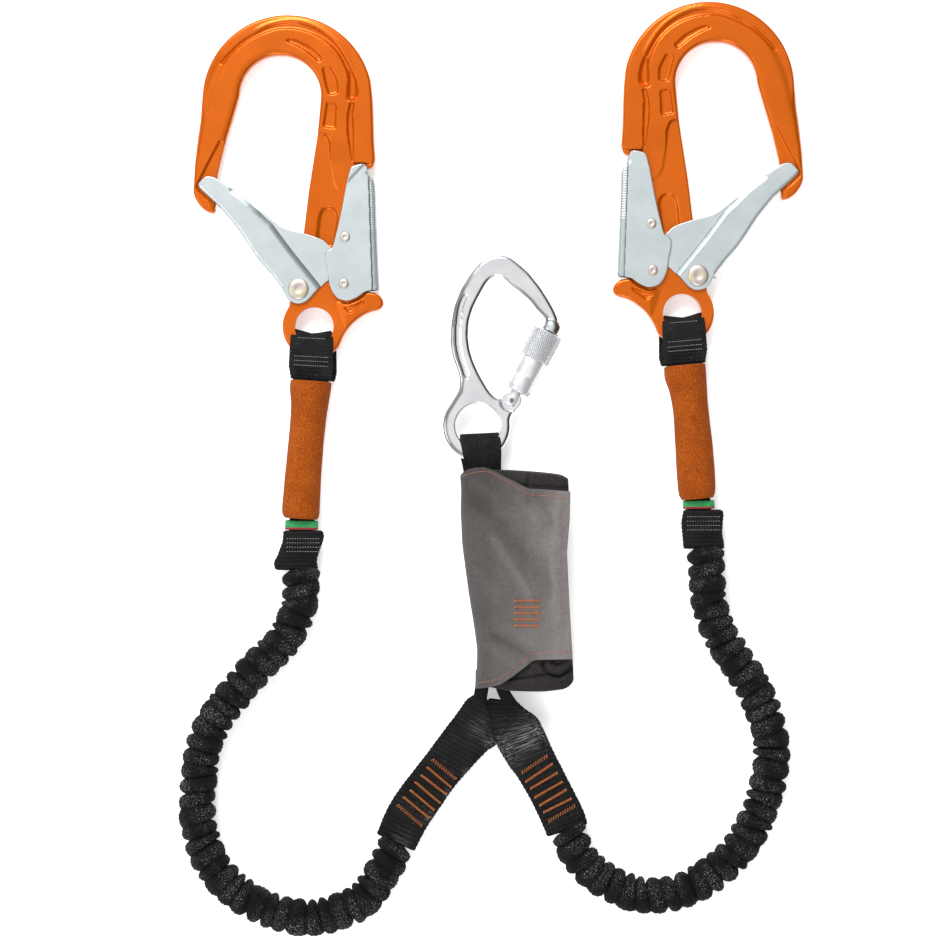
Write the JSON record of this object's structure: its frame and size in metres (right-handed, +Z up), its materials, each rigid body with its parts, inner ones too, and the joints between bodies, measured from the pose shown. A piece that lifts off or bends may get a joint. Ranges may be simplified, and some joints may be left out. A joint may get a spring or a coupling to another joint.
{
  "type": "energy absorbing y-lanyard",
  "caption": "Y-shaped fall-arrest lanyard: screw-lock carabiner, folded tear-webbing absorber in a pouch, elastic legs, foam grips and large gated scaffold hooks",
  "frame": {"origin": "centre of the flat underside of the absorber pack, on the table the lanyard lies on", "axes": "+Z up off the table, +Y from the pack towards the carabiner, +X to the right seen from above"},
  "size_m": [0.4413, 0.6599, 0.0355],
  "materials": {
    "anodised_orange": "gloss orange anodised",
    "zinc_steel": "zinc plated, pale and slightly blue",
    "rivet_steel": "zinc plated, slightly yellow",
    "spring_steel": "bare spring steel",
    "polished_aluminium": "polished",
    "black_webbing": "woven, matte",
    "orange_foam": "foam under a knitted cover, matte",
    "green_band": "woven, matte",
    "grey_fabric": "coated cloth, satin",
    "black_fabric": "woven cloth, matte",
    "hook_tape": "hook and loop tape",
    "tear_webbing": "woven, matte",
    "rubber_core": "covered elastic cord"
  },
  "bodies": {
    "absorber": {"absorber_pouch": "black_fabric", "tear_webbing": "tear_webbing", "cover_back": "grey_fabric", "pouch_loop_tape": "hook_tape", "carabiner_strap": "black_webbing", "left_bottom_loop": "black_webbing", "right_bottom_loop": "black_webbing", "left_arm_strap": "black_webbing", "right_arm_strap": "black_webbing", "left_leg_sheath": "black_webbing", "left_leg_core": "rubber_core", "right_leg_sheath": "black_webbing", "right_leg_core": "rubber_core"},
    "cover_flap": {"cover_flap": "grey_fabric", "flap_hook_tape": "hook_tape"},
    "carabiner": {"carabiner_frame": "polished_aluminium", "carabiner_gate_pin": "spring_steel"},
    "carabiner_gate": {"carabiner_gate": "polished_aluminium", "carabiner_plunger": "spring_steel", "carabiner_spring": "spring_steel"},
    "carabiner_sleeve": {"carabiner_sleeve": "polished_aluminium"},
    "left_grip": {"left_hook_webbing": "black_webbing", "left_grip": "orange_foam", "left_indicator_band": "green_band", "left_sewn_end": "black_webbing"},
    "left_hook": {"left_hook_frame": "anodised_orange", "left_gate_rivet": "rivet_steel", "left_gate_spring": "spring_steel", "left_lever_rivet": "rivet_steel", "left_lever_spring": "spring_steel"},
    "left_gate": {"left_hook_gate": "zinc_steel"},
    "left_lever": {"left_lock_lever": "zinc_steel", "left_catch_pin": "rivet_steel"},
    "right_grip": {"right_hook_webbing": "black_webbing", "right_grip": "orange_foam", "right_indicator_band": "green_band", "right_sewn_end": "black_webbing"},
    "right_hook": {"right_hook_frame": "anodised_orange", "right_gate_rivet": "rivet_steel", "right_gate_spring": "spring_steel", "right_lever_rivet": "rivet_steel", "right_lever_spring": "spring_steel"},
    "right_gate": {"right_hook_gate": "zinc_steel"},
    "right_lever": {"right_lock_lever": "zinc_steel", "right_catch_pin": "rivet_steel"}
  },
  "joints": [
    {"name": "cover_flap_hinge", "type": "hinge", "parent": "absorber", "child": "cover_flap", "pos_m": [-0.04095, 0.05705, 0.0355], "axis": [0.0792, -0.9969, 0], "range_deg": [0, 140]},
    {"name": "carabiner_swing", "type": "hinge", "parent": "absorber", "child": "carabiner", "pos_m": [-0.02835, 0.1092, 0.0114], "axis": [0, 0, 1], "range_deg": [-15, 15]},
    {"name": "carabiner_gate_hinge", "type": "hinge", "parent": "carabiner", "child": "carabiner_gate", "pos_m": [-0.00455, 0.1271, 0.0114], "axis": [0, 0, 1], "range_deg": [0, 25], "stiffness_Nm_per_rad": 0.1, "springref_deg": -8.59},
    {"name": "carabiner_sleeve_slide", "type": "slide", "parent": "carabiner_gate", "child": "carabiner_sleeve", "axis": [0.4664, 0.8846, 0], "range_m": [0, 0.007]},
    {"name": "left_grip_swing", "type": "hinge", "parent": "absorber", "child": "left_grip", "pos_m": [-0.15295, 0.00665, 0.0139], "axis": [0, 0, 1], "range_deg": [-4, 15], "deforming": ["left_leg_sheath", "left_leg_core"]},
    {"name": "left_hook_swing", "type": "hinge", "parent": "left_grip", "child": "left_hook", "pos_m": [-0.14385, 0.17927, 0.009], "axis": [0, 0, 1], "range_deg": [-12, 25]},
    {"name": "left_gate_hinge", "type": "hinge", "parent": "left_hook", "child": "left_gate", "pos_m": [-0.15485, 0.20567, 0.009], "axis": [0, 0, -1], "range_deg": [0, 42], "stiffness_Nm_per_rad": 0.2, "springref_deg": -8.59, "deforming": ["left_gate_spring"]},
    {"name": "left_lever_hinge", "type": "hinge", "parent": "left_hook", "child": "left_lever", "pos_m": [-0.12295, 0.20937, 0.009], "axis": [0, 0, 1], "range_deg": [0, 6], "deforming": ["left_lever_spring"]},
    {"name": "right_grip_swing", "type": "hinge", "parent": "absorber", "child": "right_grip", "pos_m": [0.13195, 0.02135, 0.0139], "axis": [0, 0, -1], "range_deg": [-4, 15], "deforming": ["right_leg_sheath", "right_leg_core"]},
    {"name": "right_hook_swing", "type": "hinge", "parent": "right_grip", "child": "right_hook", "pos_m": [0.11585, 0.18879, 0.009], "axis": [0, 0, -1], "range_deg": [-12, 25]},
    {"name": "right_gate_hinge", "type": "hinge", "parent": "right_hook", "child": "right_gate", "pos_m": [0.12685, 0.21519, 0.009], "axis": [0, 0, 1], "range_deg": [0, 42], "stiffness_Nm_per_rad": 0.2, "springref_deg": -8.59, "deforming": ["right_gate_spring"]},
    {"name": "right_lever_hinge", "type": "hinge", "parent": "right_hook", "child": "right_lever", "pos_m": [0.09495, 0.21889, 0.009], "axis": [0, 0, -1], "range_deg": [0, 6], "deforming": ["right_lever_spring"]}
  ],
  "couplings": [
    {"joint": "left_lever_hinge", "follows": "left_gate_hinge", "ratio": 0.14},
    {"joint": "right_lever_hinge", "follows": "right_gate_hinge", "ratio": 0.14}
  ]
}
